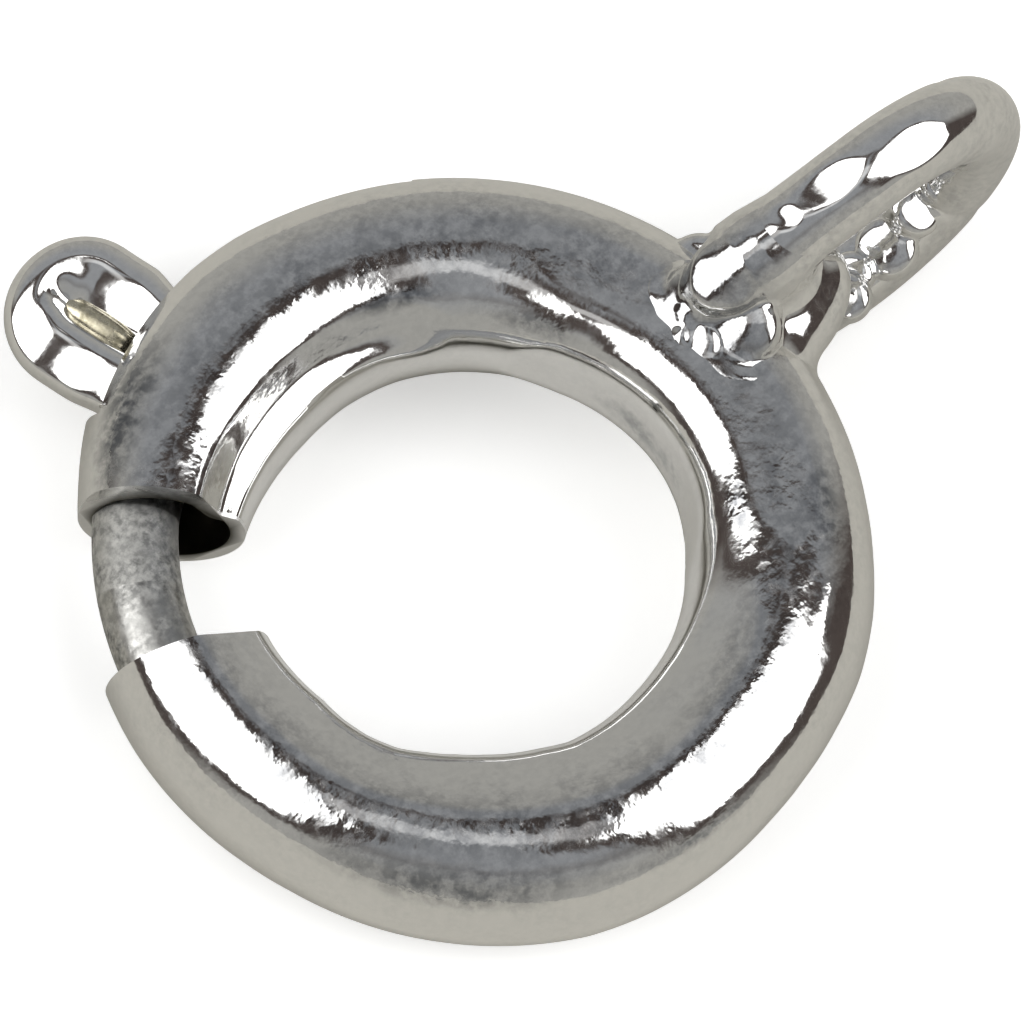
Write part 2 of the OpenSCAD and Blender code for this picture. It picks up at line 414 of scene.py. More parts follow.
def eye_wire():
    """The eye's loop, in the plane across the ring, leaning a little about the vertical."""
    sizes = {"Bend place": EYE_X, "Bend radius": EYE_RADIUS, "Bend each way": 90 + math.degrees(LEG_SLOPE),
             "Leg length": LEG_LENGTH * (1 - LEG_HIDDEN), "Wire radius": EYE_R,
             "Lean": EYE_LEAN, "Lean centre": LEAN_CENTRE}
    tree, size = start_tree("eye wire", sizes)

    def upright(out, across):
        side = calc(tree, "MULTIPLY", calc(tree, "SUBTRACT", size["Lean centre"], out), size["Lean"])
        return vector_of(tree, out, side, across)

    wire = hairpin(tree, size, steps=320, sides=80, in_plane=upright)
    return grow("eye_wire", tree, wire, silver_eye, sizes)


def thumb_knob():
    """The knob's wire, doubled back on itself in the ring's plane."""
    sizes = {"Bend place": KNOB_BEND_X, "Bend radius": KNOB_LEG_OFF, "Bend each way": 90,
             "Leg length": KNOB_BEND_X - BOLT_ARC_R - KNOB_LEG_SHORT, "Wire radius": KNOB_WIRE_R,
             "Direction": KNOB_DIR}
    tree, size = start_tree("thumb knob", sizes)
    wire = hairpin(tree, size, steps=120, sides=56, in_plane=lambda out, across: vector_of(tree, out, across))
    return grow("thumb_knob_wire", tree, turned_to(tree, wire, size["Direction"]), silver_knob, sizes)


def crease_brass():
    """Brazing brass that fills the crease between the knob's legs, blunt at both ends."""
    sizes = {"Direction": KNOB_DIR, "From": 3.52, "To": 4.38, "Fill radius": 0.12, "Fill height": 0.06,
             "Bluntness": 2.5}
    tree, size = start_tree("crease brass", sizes)
    line, share = fine_line(tree, points=60)
    out = calc(tree, "MULTIPLY_ADD", share, calc(tree, "SUBTRACT", size["To"], size["From"]), size["From"])
    ends = calc(tree, "MULTIPLY_ADD", share, 2.0, -1.0)
    ends = calc(tree, "SUBTRACT", 1.0, calc(tree, "POWER", calc(tree, "ABSOLUTE", ends), size["Bluntness"]))
    scale = calc(tree, "SQRT", calc(tree, "MAXIMUM", ends, 0.0))
    profile = round_profile(tree, size["Fill radius"], sides=32)
    bar = sweep(tree, line, vector_of(tree, out, 0.0, size["Fill height"]), profile, scale)
    return grow("crease_brass", tree, turned_to(tree, bar, size["Direction"]), brass_with_painted_crease_shade, sizes)


def sprung_bolt():
    """The bolt, a bent bar with a domed tip."""
    sizes = {"Arc radius": BOLT_ARC_R, "Bolt radius": BOLT_R, "Tail": BOLT_TAIL, "Tip": BOLT_TIP,
             "Tip dome": TIP_DOME}
    tree, size = start_tree("sprung bolt", sizes)
    line, share = fine_line(tree, points=260)
    turn = calc(tree, "RADIANS", calc(tree, "SUBTRACT", size["Tip"], size["Tail"]))
    to_tip = product(tree, calc(tree, "SUBTRACT", 1.0, share), product(tree, turn, size["Arc radius"]))
    short = calc(tree, "MAXIMUM", calc(tree, "SUBTRACT", size["Tip dome"], to_tip), 0.0)
    dome = product(tree, size["Tip dome"], size["Tip dome"])
    dome = calc(tree, "MAXIMUM", calc(tree, "SUBTRACT", dome, product(tree, short, short)), 0.0)
    scale = calc(tree, "MINIMUM", calc(tree, "DIVIDE", calc(tree, "SQRT", dome), size["Bolt radius"]), 1.0)
    place = on_arc(tree, share, size["Tail"], size["Tip"], size["Arc radius"])
    bar = sweep(tree, line, place, round_profile(tree, size["Bolt radius"], sides=64), scale)
    return grow("bolt_bar", tree, bar, silver_bolt, sizes)


def coil_spring():
    """The coil, wound about the tube's centreline from the stop to the bolt's tail."""
    sizes = {"Ring radius": RING_R, "Coil radius": SPRING_COIL_R, "Wire radius": SPRING_WIRE_R,
             "From": SPRING_FROM, "To": SPRING_TO, "Turns": SPRING_TURNS}
    tree, size = start_tree("coil spring", sizes)
    line, share = fine_line(tree, points=SPRING_TURNS * SPRING_STEPS_A_TURN)
    wind = calc(tree, "MULTIPLY", calc(tree, "MULTIPLY", share, size["Turns"]), 2 * math.pi)
    out = calc(tree, "MULTIPLY_ADD", calc(tree, "COSINE", wind), size["Coil radius"], size["Ring radius"])
    rise = calc(tree, "MULTIPLY", calc(tree, "SINE", wind), size["Coil radius"])
    place = on_arc(tree, share, size["From"], size["To"], out, rise)
    coil = sweep(tree, line, place, round_profile(tree, size["Wire radius"], sides=12))
    return grow("coil_spring", tree, coil, spring_steel, sizes)


# Helpers for shapes that are worked out point by point
def melt(a, b, reach):
    """Two solids, as distances to their surfaces, run together over this reach."""
    near = np.clip(reach - np.abs(a - b), 0, None) / reach
    return np.minimum(a, b) - near * near * reach / 4


def smooth_share(value, start, end):
    share = np.clip((value - start) / (end - start), 0, 1)
    return share * share * (3 - 2 * share)


def points_of(piece):
    co = np.empty(len(piece.data.vertices) * 3)
    piece.data.vertices.foreach_get("co", co)
    return co.reshape(-1, 3)


def put_points(piece, co):
    piece.data.vertices.foreach_set("co", co.ravel())
    return piece


def turn_round(co, angle):
    """Turns each point about the ring's axis by its own angle."""
    cosine, sine = np.cos(angle), np.sin(angle)
    x, y = co[:, 0].copy(), co[:, 1].copy()
    co[:, 0] = x * cosine - y * sine
    co[:, 1] = x * sine + y * cosine


def unrolled_place(co):
    """Each point's direction round the ring, running on from the catch end to the case end, and how
    far it is out from the tube's middle."""
    direction = np.degrees(np.arctan2(co[:, 1], co[:, 0]))
    direction = np.where(direction > (CASE_END + CATCH_END) / 2, direction - 360, direction)
    return direction, np.hypot(co[:, 0], co[:, 1]) - RING_R


# Solder that fills the space about the eye's feet: outwards along the eye, sideways, up, and radius
FILLING = [
    (3.70, -0.12, 0.0, 0.46), (3.95, -0.08, 0.15, 0.37), (4.08, 0.02, -0.66, 0.36),
    (3.42, -0.22, 0.15, 0.42), (3.00, 0.00, -0.62, 0.40), (3.45, 0.20, -0.42, 0.34),
    (3.35, -0.22, -0.36, 0.30), (3.58, 0.12, 0.55, 0.36),
]
# Beads on it and along the lower strand: the same, and the way that each one's flattened top leans
LEFTWARD, RIGHTWARD = (-0.416, -0.056, 0.908), (0.142, -0.440, 0.887)
BEADS = [
    (3.16, 0.20, 1.02, 0.34, LEFTWARD), (3.02, -0.16, 0.72, 0.36, LEFTWARD),
    (3.66, -0.02, 0.98, 0.20, RIGHTWARD), (3.24, -0.40, 0.42, 0.17, RIGHTWARD),
    (2.90, 0.40, 0.80, 0.16, LEFTWARD), (2.74, 0.20, 0.78, 0.13, RIGHTWARD),
    (2.68, -0.06, 0.76, 0.12, LEFTWARD), (2.58, 0.10, 0.77, 0.09, RIGHTWARD),
    (3.27, 0.57, 0.30, 0.32, LEFTWARD), (3.58, 0.45, 0.42, 0.28, LEFTWARD),
    (5.03, -0.13, -0.89, 0.29, LEFTWARD), (5.38, -0.07, -0.68, 0.26, RIGHTWARD),
    (4.64, -0.09, -0.92, 0.21, LEFTWARD), (4.42, -0.24, -0.84, 0.23, LEFTWARD),
    (5.66, -0.07, -0.50, 0.20, RIGHTWARD),
]
# A bead's flattened top stands this share of its radius above its middle, and is part of a ball so large
BEAD_TOP, BEAD_TOP_R = 0.62, 0.8
# How much thinner than the wire the solder over each leg is, by share of the way from its foot
LEG_THINNER = [(0.0, 0.13), (0.25, -0.02), (LEG_HIDDEN - 0.02, -0.02), (LEG_HIDDEN + 0.42, 0.05), (1, 0.05)]
# The share of each leg, from its foot, that solder covers
LEG_COVERED = 0.62
# How far the upper leg's foot is pushed outwards, sideways and up by the solder under it
LEG_PUSHED = np.array((0.0, 0.09, 0.12))
# Over how many mm they run together: the filling's parts, the beads and their tops, the filling and the
# tube, the lower and the upper leg, the beads and the rest, and the solder's own edges
MELT_FILLING, MELT_BEADS, MELT_TUBE, MELT_LEG_LOW, MELT_LEG_HIGH = 0.3, 0.04, 0.25, 0.12, 0.3
MELT_ONTO, MELT_EDGES = 0.07, 0.05
# How deep the solder's skin lies in the tube's surface, how far it spreads from the filling, from the beads
# and from all that it covers, and how far it stays out from the bore
SKIN_DEEP, FILLING_SPREAD, BEAD_SPREAD, SKIN_SPREAD, BORE_MARGIN = 0.012, 0.2, 0.1, 0.1, 0.06
# The box that is searched for the solder's surface, and its cells
SOLDER_LOW, SOLDER_HIGH = (2.107, -0.993, -1.593), (6.1, 1.1, 1.7)
SOLDER_STEP = 0.022
# How the surface's points settle: rounds, step for the slope, least slope, and most of a cell that one moves
SETTLE_ROUNDS, SLOPE_STEP, SLOPE_LEAST, MOST_OF_CELL = 4, 1e-4, 0.2, 0.6
FAR_AWAY = 9.0


def solder_depth(p):
    """How far each point is outside the solder, in mm; below 0 it is inside."""
    filling = np.full(len(p), FAR_AWAY)
    for *centre, radius in FILLING:
        filling = melt(filling, np.linalg.norm(p - centre, axis=1) - radius, MELT_FILLING)
    beads = np.full(len(p), FAR_AWAY)
    for *centre, radius, leaning in BEADS:
        low = np.array(centre) + (BEAD_TOP * radius - BEAD_TOP_R) * np.array(leaning)
        bead = np.linalg.norm(p - centre, axis=1) - radius
        top = np.linalg.norm(p - low, axis=1) - BEAD_TOP_R
        beads = melt(beads, -melt(-bead, -top, MELT_BEADS), MELT_BEADS)
    tube = np.hypot(np.hypot(p[:, 0], p[:, 1]) - RING_R, p[:, 2])
    whole = melt(filling, tube - TUBE_R + SKIN_DEEP, MELT_TUBE)
    reach = np.minimum(filling - FILLING_SPREAD, beads - BEAD_SPREAD)
    for side, melting, pushed in ((-1, MELT_LEG_LOW, 0), (1, MELT_LEG_HIGH, LEG_PUSHED)):
        foot = np.array([FOOT_X, eye_side(FOOT_X), side * FOOT_Z]) + pushed
        leg = np.array([LEG_X, eye_side(LEG_X), side * LEG_Z]) - foot
        share = np.clip((p - foot) @ leg / (leg @ leg), 0, 1)
        wire = np.linalg.norm(p - foot - share[:, None] * leg, axis=1)
        thinner = np.interp(share, *np.array(LEG_THINNER).T)
        whole = melt(whole, wire - EYE_R + thinner, melting)
        reach = np.minimum(reach, np.maximum(wire - EYE_R, (share - LEG_COVERED) * LEG_LENGTH))
    whole = melt(whole, beads, MELT_ONTO)
    return -melt(melt(-whole, SKIN_SPREAD - reach, MELT_EDGES), tube - BORE_R - BORE_MARGIN, MELT_EDGES)


def settle(points):
    """Draws the middles of the cells that the solder's surface crosses onto that surface."""
    centres = points.copy()
    most = SOLDER_STEP * MOST_OF_CELL
    for _ in range(SETTLE_ROUNDS):
        depth = solder_depth(points)
        slope = np.stack([solder_depth(points + e) - depth for e in np.eye(3) * SLOPE_STEP], 1) / SLOPE_STEP
        points -= (depth / np.maximum((slope ** 2).sum(1), SLOPE_LEAST))[:, None] * slope
        points = np.clip(points, centres - most, centres + most)
    return points


def solder():
    """Skins the solder: a point in each cell that its surface crosses, and a face across each edge of the
    grid that the surface cuts."""
    axes = [np.arange(lo, hi, SOLDER_STEP) for lo, hi in zip(SOLDER_LOW, SOLDER_HIGH)]
    grid = np.stack(np.meshgrid(*axes, indexing="ij"), -1)
    size = grid.shape[:3]
    inside = solder_depth(grid.reshape(-1, 3)).reshape(size) < 0
    full = sum(inside[i:size[0] - 1 + i, j:size[1] - 1 + j, k:size[2] - 1 + k].astype(int)
               for i in (0, 1) for j in (0, 1) for k in (0, 1))
    crossed = (full > 0) & (full < 8)
    number = np.full(crossed.shape, -1)
    number[crossed] = np.arange(crossed.sum())
    points = settle(np.argwhere(crossed) * SOLDER_STEP + np.array(SOLDER_LOW) + SOLDER_STEP / 2)
    faces = []
    for axis in range(3):
        b, c = (axis + 1) % 3, (axis + 2) % 3
        here, there = [slice(1, -1)] * 3, [slice(1, -1)] * 3
        here[axis], there[axis] = slice(0, -1), slice(1, None)
        near, far = inside[tuple(here)], inside[tuple(there)]
        for edge, way in ((near & ~far, 1), (~near & far, -1)):
            at = np.argwhere(edge)
            at[:, [b, c]] += 1
            ring = [at.copy() for _ in range(4)]
            ring[0][:, [b, c]] -= 1
            ring[1][:, c] -= 1
            ring[3][:, b] -= 1
            faces.append(np.stack([number[tuple(corner.T)] for corner in ring], 1)[:, ::way])
    mesh = bpy.data.meshes.new("solder")
    mesh.from_pydata(points.tolist(), [], np.concatenate(faces).tolist())
    mesh.materials.append(silver_solder)
    return add_object("solder", mesh)


# Where the hand-made tube departs from a true ring: direction, shift of its outer side and of its inner side
DRAWN = [
    (-202, -0.06, 0.09), (-193, -0.06, 0.07), (-185, -0.07, 0.05), (-177, -0.08, 0.03), (-170, -0.09, 0.05),
    (-162, -0.09, 0.06), (-154, -0.07, 0.05), (-147, -0.05, 0.01), (-139, -0.03, -0.02), (-132, -0.01, -0.03),
    (-117, 0.03, -0.02), (-109, 0.02, 0.01), (-101, 0.0, 0.0), (-93, -0.02, -0.01), (-85, -0.04, -0.02),
    (-77, -0.04, -0.02), (-68, -0.02, -0.01), (-60, 0.01, 0.0), (-51, 0.01, 0.02), (-42, -0.01, 0.035),
    (-34, -0.015, 0.045), (-25, -0.01, 0.06), (-17, -0.01, 0.06), (-9, 0.0, 0.05), (6, 0.0, 0.015),
    (22, 0.01, -0.02), (44, 0.04, -0.025), (59, 0.07, -0.02), (67, 0.085, -0.015), (75, 0.11, -0.02),
    (83, 0.15, -0.02), (91, 0.17, -0.025), (99, 0.16, -0.02), (108, 0.14, 0.01), (116, 0.11, 0.05),
    (125, 0.02, 0.105), (131, -0.03, 0.145),
]
# The catch end is cut askew on its inner side, by this angle, and the tube leads up to it from this direction
CATCH_SKEW, SKEW_FROM = 0.055, -185

# Flats pressed into the upper inner side of the tube. Each faces this many degrees round the section from
# straight outwards, is lipped or not, and stays on the upper side or not; its distance from the tube's
# middle, as a share of the radius, is given by direction round the ring. Where that is over 1 it doesn't cut.
FLATS = [
    (120, False, True, [(-202, 0.89), (-72, 0.89), (-30, 1.1), (131, 1.1)]),
    (88, False, True, [(-65, 1.1), (-35, 0.96), (28, 0.96), (55, 1.1)]),
    (170, False, False, [(-65, 1.1), (-30, 1.0), (25, 1.0), (55, 1.1)]),
    (144, True, True, [(35, 1.1), (70, 0.9), (100, 0.86), (131, 0.84)]),
]
FLAT_HALF, MELT_FLATS = 75, 0.05
# A flat on the upper side fades out between these heights
UPPER_FADE = (-0.1, 0.1)
# The shoulder that the inner side bulges into beside the eye, by direction, and where round the section
SHOULDER = [(-70, 0.0), (-24, 0.12), (18, 0.12), (54, 0.0)]
SHOULDER_START, SHOULDER_END = (95, 125), (200, 175)
# The lip under the flat at the case's end, by direction, where round the section, and how far it stands out
LIP = [(55, 0.0), (90, 1.0), (131, 1.0)]
LIP_FACING, LIP_OUT = (138, 166), 0.3
# Directions past which no spring runs in the bore, so that it follows the flats
FREE_AFTER, FREE_BEFORE = (92, 100), (-76, -84)
# The case's rim is turned in: the outer skin ends this far short of the bore, within this far from the end,
# on its upper and its outer side
RIM_BACK, RIM_REACH = 0.05, 0.25
RIM_UPPER, RIM_OUTER = (0.1, 0.5), (-0.7, -0.3)
# Midway through the tube's wall, and a place just outside the bore
WALL_MIDDLE = (BORE_R + TUBE_R) / 2
BORE_EDGE = BORE_R + 0.02


def by_direction(table, direction):
    places, values = np.array(table).T
    after = np.clip(np.searchsorted(places, direction), 1, len(places) - 1)
    share = smooth_share(direction, places[after - 1], places[after])
    return values[after - 1] + (values[after] - values[after - 1]) * share


def press_section(co, direction, out):
    """Presses the flats into the tube's inner side; the bore follows them where no spring runs."""
    far = np.hypot(out, co[:, 2])
    facing = np.degrees(np.arctan2(co[:, 2], out)) % 360
    bulge = smooth_share(facing, *SHOULDER_START) * smooth_share(facing, *SHOULDER_END)
    shoulder = 1 + by_direction(SHOULDER, direction) * bulge
    factor = shoulder
    for middle, lipped, upper, table in FLATS:
        away = np.clip(facing - middle, -FLAT_HALF, FLAT_HALF)
        flat = by_direction(table, direction) / np.cos(np.radians(away))
        if lipped:
            flat += LIP_OUT * smooth_share(facing, *LIP_FACING) * by_direction(LIP, direction)
        if upper:
            flat += 1 - smooth_share(co[:, 2], *UPPER_FADE)
        factor = melt(factor, flat, MELT_FLATS)
    factor = np.minimum(factor + MELT_FLATS / 4, np.maximum(1, shoulder))
    free = smooth_share(direction, *FREE_AFTER) + smooth_share(direction, *FREE_BEFORE)
    factor = np.where(far > WALL_MIDDLE, factor, 1 + (np.minimum(factor, 1) - 1) * free)
    middle = RING_R / (RING_R + out)
    co[:, :2] *= (middle + (1 - middle) * factor)[:, None]
    co[:, 2] *= factor


def turn_in_rim(co, direction, out):
    """Shortens the outer skin at the case's end, so that the rim faces outwards."""
    along = np.radians(CASE_END - direction) * RING_R
    skin = np.hypot(out, co[:, 2]) > WALL_MIDDLE
    upper = smooth_share(co[:, 2], *RIM_UPPER) * smooth_share(out, *RIM_OUTER)
    back = RIM_BACK * upper * (1 - smooth_share(along, 0, RIM_REACH))
    turn_round(co, -np.where(skin, back, 0) / RING_R)


def draw_tube(piece):
    """Turns in the rim, presses the flats, draws the tube's outer and inner side in or out by the table
    above, and skews the catch end's cut. The bore is marked."""
    co = points_of(piece)
    direction, out = unrolled_place(co)
    bore = (np.hypot(out, co[:, 2]) < BORE_EDGE).astype(np.float32)
    piece.data.attributes.new("bore", "FLOAT", "POINT").data.foreach_set("value", bore)
    turn_in_rim(co, direction, out)
    press_section(co, direction, out)
    direction, out = unrolled_place(co)
    places, outer, inner = np.array(DRAWN).T
    share = np.clip((out + TUBE_R) / (2 * TUBE_R), 0, 1)
    shift = np.interp(direction, places, outer) * share + np.interp(direction, places, inner) * (1 - share)
    turn_round(co, CATCH_SKEW * (1 - share) * smooth_share(direction, SKEW_FROM, CATCH_END - 360))
    co[:, :2] *= ((out + RING_R + shift) / (out + RING_R))[:, None]
    return put_points(piece, co)


# How far outwards the bolt is drawn, by direction
BOLT_DRAWN = [(104, 0.0), (130, 0.04), (157, -0.04), (165, -0.06)]


def draw_bolt(piece):
    """Straightens the bolt a little: it stands nearer the outer side where it leaves the case."""
    co = points_of(piece)
    direction = np.degrees(np.arctan2(co[:, 1], co[:, 0]))
    shift = np.interp(direction, *np.array(BOLT_DRAWN).T)
    far = np.hypot(co[:, 0], co[:, 1])
    co[:, :2] *= ((far + shift) / far)[:, None]
    return put_points(piece, co)


# The flat pressed along each leg of the knob faces sideways, towards the mouth, and up; its depth, and the
# reach over which its edges are rounded
KNOB_FLAT, KNOB_FLAT_DEPTH, MELT_KNOB = (0.454, 0.891), 0.06, 0.03
# How much wider the knob is towards the eye and away from it, from where to where outwards
KNOB_WIDER, KNOB_WIDER_FROM = (0.13, 0.06), (3.45, 3.8)
# The groove between its legs, half as wide as this, and where it ends
KNOB_GROOVE, GROOVE_HALF, GROOVE_END = 0.13, 0.11, (4.28, 4.5)
# How much lower its wire's top is, and how its end rises outwards
KNOB_TOP_LOWER, KNOB_RISE, KNOB_RISE_FROM, KNOB_RISE_OVER = 0.02, 0.10, 4.0, (3.6, 4.2)
TINY = 1e-6


def draw_knob(piece):
    """Presses flats along the knob's legs and a groove between them, and makes its round end a little
    fatter, more towards the eye, and higher."""
    co = points_of(piece)
    turn = math.radians(KNOB_DIR)
    out = co[:, 0] * math.cos(turn) + co[:, 1] * math.sin(turn)
    across = co[:, 1] * math.cos(turn) - co[:, 0] * math.sin(turn)
    bend = np.maximum(out - KNOB_BEND_X, 0)
    middle = across / np.maximum(np.hypot(bend, across), TINY) * KNOB_LEG_OFF
    height = (across - middle) * KNOB_FLAT[0] + co[:, 2] * KNOB_FLAT[1]
    pressed = melt(height, np.full(len(co), KNOB_WIRE_R - KNOB_FLAT_DEPTH), MELT_KNOB) - height
    across = across + pressed * KNOB_FLAT[0]
    co[:, 2] += pressed * KNOB_FLAT[1]
    wider = np.where(across < 0, *KNOB_WIDER) * across * smooth_share(out, *KNOB_WIDER_FROM)
    groove = KNOB_GROOVE * np.exp(-(across / GROOVE_HALF) ** 2) * (1 - smooth_share(out, *GROOVE_END))
    high = np.clip(co[:, 2] / KNOB_WIRE_R, 0, 1)
    co[:, 2] -= high * groove + KNOB_TOP_LOWER * high ** 4
    co[:, 2] += KNOB_RISE * (out - KNOB_RISE_FROM) * smooth_share(out, *KNOB_RISE_OVER)
    aside = pressed * KNOB_FLAT[0] + wider
    co[:, 0] -= aside * math.sin(turn)
    co[:, 1] += aside * math.cos(turn)
    return put_points(piece, co)


# Pinches along the eye's wire: mm from its tip, up over the top, and depth
PINCHES = [(-0.80, 0.012), (1.00, 0.012)]
PINCH_HALF = 0.08
# Places along it that are pressed flat: mm from its tip, the way that the flat faces, its depth, and how
# hollow it is along the wire, as a radius
PRESSED = [(1.52, (0.057, -0.423, 0.905), 0.022, 2.2), (2.32, (-0.319, 0.087, 0.943), 0.046, 2.2),
           (2.86, (-0.319, 0.087, 0.943), 0.02, 0.3)]
MELT_PRESSED = 0.02
# How much flatter the wire is across the eye's plane, how much farther out its tip is, and from where
EYE_FLATTER, EYE_FLATTER_FROM = 0.06, (3.3, 4.0)
EYE_LONGER, EYE_LONGER_FROM = 0.03, (5.0, 6.4)
# The solder's push on the upper leg starts this share of its length before the leg does
PUSH_LEAD = 0.25
BEND_LIMIT = math.pi / 2 + LEG_SLOPE


def on_eye(along):
    """The middle of the eye's wire, so many mm along it from its tip, up over the top."""
    turned = np.clip(along / EYE_RADIUS, -BEND_LIMIT, BEND_LIMIT)
    straight = along - turned * EYE_RADIUS
    x = EYE_X + EYE_RADIUS * np.cos(turned) - straight * np.sin(turned)
    return np.stack([x, eye_side(x), EYE_RADIUS * np.sin(turned) + straight * np.cos(turned)], -1)


def along_eye(co):
    """How many mm along the eye's wire each point is from its tip, up over the top."""
    turned = np.clip(np.arctan2(co[:, 2], co[:, 0] - EYE_X), -BEND_LIMIT, BEND_LIMIT)
    straight = co[:, 2] * np.cos(turned) - (co[:, 0] - EYE_X) * np.sin(turned)
    return EYE_RADIUS * turned + straight * (np.abs(turned) > BEND_LIMIT - TINY)


def draw_eye(piece):
    """Presses and pinches the eye's wire here and there, flattens it a little across its plane and pushes
    its upper leg aside."""
    co = points_of(piece)
    along = along_eye(co)
    middle = on_eye(along)
    for place, facing, depth, hollow in PRESSED:
        facing = np.array(facing)
        away = co - on_eye(place)
        height = away @ facing
        onward = np.linalg.norm(away - height[:, None] * facing, axis=1)
        top = EYE_R - depth + np.minimum(np.abs(along - place), onward) ** 2 / (2 * hollow)
        pressed = np.where(height > 0, melt(height, top, MELT_PRESSED), height)
        co += (pressed - height)[:, None] * facing
    for place, depth in PINCHES:
        co += (middle - co) * (depth / EYE_R * np.exp(-((along - place) / PINCH_HALF) ** 2))[:, None]
    side = eye_side(co[:, 0])
    co[:, 1] = side + (co[:, 1] - side) * (1 - EYE_FLATTER * smooth_share(co[:, 0], *EYE_FLATTER_FROM))
    co[:, 0] += EYE_LONGER * smooth_share(co[:, 0], *EYE_LONGER_FROM)
    pushed = np.clip((along - EYE_RADIUS * BEND_LIMIT) / LEG_LENGTH, -PUSH_LEAD, 1) + PUSH_LEAD
    co += (pushed * pushed / (pushed + PUSH_LEAD))[:, None] * LEG_PUSHED
    return put_points(piece, co)


# Stretches of the ring that are worn and tarnished and painted darker as dark reflection: direction and half
# its length, facing round the section and half its width, in degrees, and how much
WEAR_AND_DARK_REFLECTION_STRETCHES = [
    (117, 15, 48, 20, 1.0), (-38, 12, 66, 16, 0.9), (84, 16, 92, 16, 0.5), (-138, 28, 48, 18, 0.8),
    (-150, 55, 97, 13, 0.6), (-100, 25, 41, 6, 0.6), (64, 14, 118, 9, 0.9), (32, 14, 134, 8, 0.7),
    (-35, 14, 118, 8, 0.8), (15, 70, 92, 14, 0.5), (-5, 22, 172, 14, 0.6), (-70, 20, 112, 9, 0.5),
]
# Wear everywhere, and the painted dark reflection on top, where the crest faces the dark overhead: facing and
# half its width, in degrees, and how much
BASE_WEAR_AND_REFLECTION, TOP_FACING, TOP_HALF, TOP_DARK_REFLECTION = 0.12, 84, 36, 0.48
SHARP_EDGE = math.radians(35)


def wear_and_dark_reflection_at(direction, out, height):
    """How worn each point is, taken with painted dark reflection on top and in the listed stretches, from 0
    to 1.
    """
    facing = np.degrees(np.arctan2(height, out)) % 360
    # More on top: painted dark reflection where the crest faces the dark overhead
    wear_and_dark_reflection = BASE_WEAR_AND_REFLECTION + TOP_DARK_REFLECTION * np.exp(-((facing - TOP_FACING) / TOP_HALF) ** 2)
    for middle, half, side, width, share in WEAR_AND_DARK_REFLECTION_STRETCHES:
        near = np.exp(-((direction - middle) / half) ** 2 - ((facing - side) / width) ** 2)
        wear_and_dark_reflection = np.maximum(wear_and_dark_reflection, share * near)
    return wear_and_dark_reflection


def lay_down(piece):
    """Lays a finished shape the way that the clasp rests, in metres. Two attributes are kept: how worn each
    point is, taken with painted dark reflection, and its unrolled place round the ring, along the tube, out
    from its middle and up."""
    mesh = piece.data
    co = points_of(piece).astype(np.float32)
    direction, out = unrolled_place(co)
    unrolled = np.stack([np.radians(direction) * RING_R, out, co[:, 2]], 1).astype(np.float32)
    wear_and_dark_reflection = wear_and_dark_reflection_at(direction, out, co[:, 2]).astype(np.float32)
    mesh.attributes.new("unrolled", "FLOAT_VECTOR", "POINT").data.foreach_set("vector", unrolled.ravel())
    mesh.attributes.new("wear_and_dark_reflection", "FLOAT", "POINT").data.foreach_set("value", wear_and_dark_reflection)
    mesh.transform(LIE)
    mesh.shade_smooth()
    mesh.set_sharp_from_angle(angle=SHARP_EDGE)
    return piece


# Pieces
tube = lay_down(draw_tube(ring_tube()))
beads = lay_down(solder())
eye = lay_down(draw_eye(eye_wire()))
bolt = lay_down(draw_bolt(sprung_bolt()))
knob = lay_down(draw_knob(thumb_knob()))
brass = lay_down(crease_brass())
spring = lay_down(coil_spring())

for piece in (tube, eye, beads):
    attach(piece, "case")
    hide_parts("ring_case")
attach(bolt, "trigger")
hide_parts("bolt")
for piece in (knob, brass):
    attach(piece, "trigger")
    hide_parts("thumb_knob")
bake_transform(spring)
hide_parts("spring")


# Studio: two soft boxes over pale paper, a grey sweep overhead, behind and in front, and a dark room beyond.
# Directions are the camera's own: right, up and back towards it.
FLOOR_SIZE = 2.0
LIGHT_FAR = 0.3
LIGHT_RADIANCE = 2.2
ROOM_DARK, SWEEP_HIGH, SWEEP_LOW = (0.075, 0.061, 0.056), (0.30, 0.31, 0.325), (0.37, 0.365, 0.345)
BRIDGE_SHARE = 0.22
PAPER_SEEN, PAPER_MIRRORED, PAPER_GLOW = (0.9, 0.9, 0.89), (0.5, 0.485, 0.44), 0.4
# A painted pool of light: the mirrored paper is this much paler within so many metres of the ring's middle
PAPER_PAINTED_LIGHT_POOL = (0.0026, 0.0016, 0.0, 0.35)
# The sweep's light starts and is full at these heights; its tone turns between these; and it comes down to
# the floor behind and in front, between these shares of the way up and down the picture
SWEEP_LIT, SWEEP_TURNS, SWEEP_BEHIND, SWEEP_BEFORE = (0.42, 0.75), (0.3, 0.75), (0.3, 0.52), (-0.25, -0.5)
# How far outside and inside their edges the boxes' dark frames, the bridge and the boxes' fronts blend in
FRAME_EDGE, BRIDGE_EDGE, BOX_EDGE = (-0.14, -0.08), (-0.03, 0.05), (0.0, 0.015)
BOX_SHARE = 0.45
# Corners of each soft box, clockwise in the camera's own right and up
LEFT_BOX = [(-0.04, 0.60, 0.80), (-0.20, -0.04, 0.98), (-0.62, -0.53, 0.56), (-0.90, -0.07, 0.40),
            (-0.97, 0.12, 0.20)]
RIGHT_BOX = [(0.86, 0.38, 0.34), (0.96, 0.20, 0.18), (0.985, 0.03, 0.17), (0.96, -0.20, 0.22),
             (0.79, -0.40, 0.46), (0.34, 0.02, 0.94), (0.20, 0.64, 0.74), (0.50, 0.54, 0.68)]
# A dimmer strip of light between them
BRIDGE = [(0.26, 0.36, 0.90), (0.32, 0.12, 0.94), (-0.19, 0.12, 0.97), (-0.14, 0.36, 0.92)]


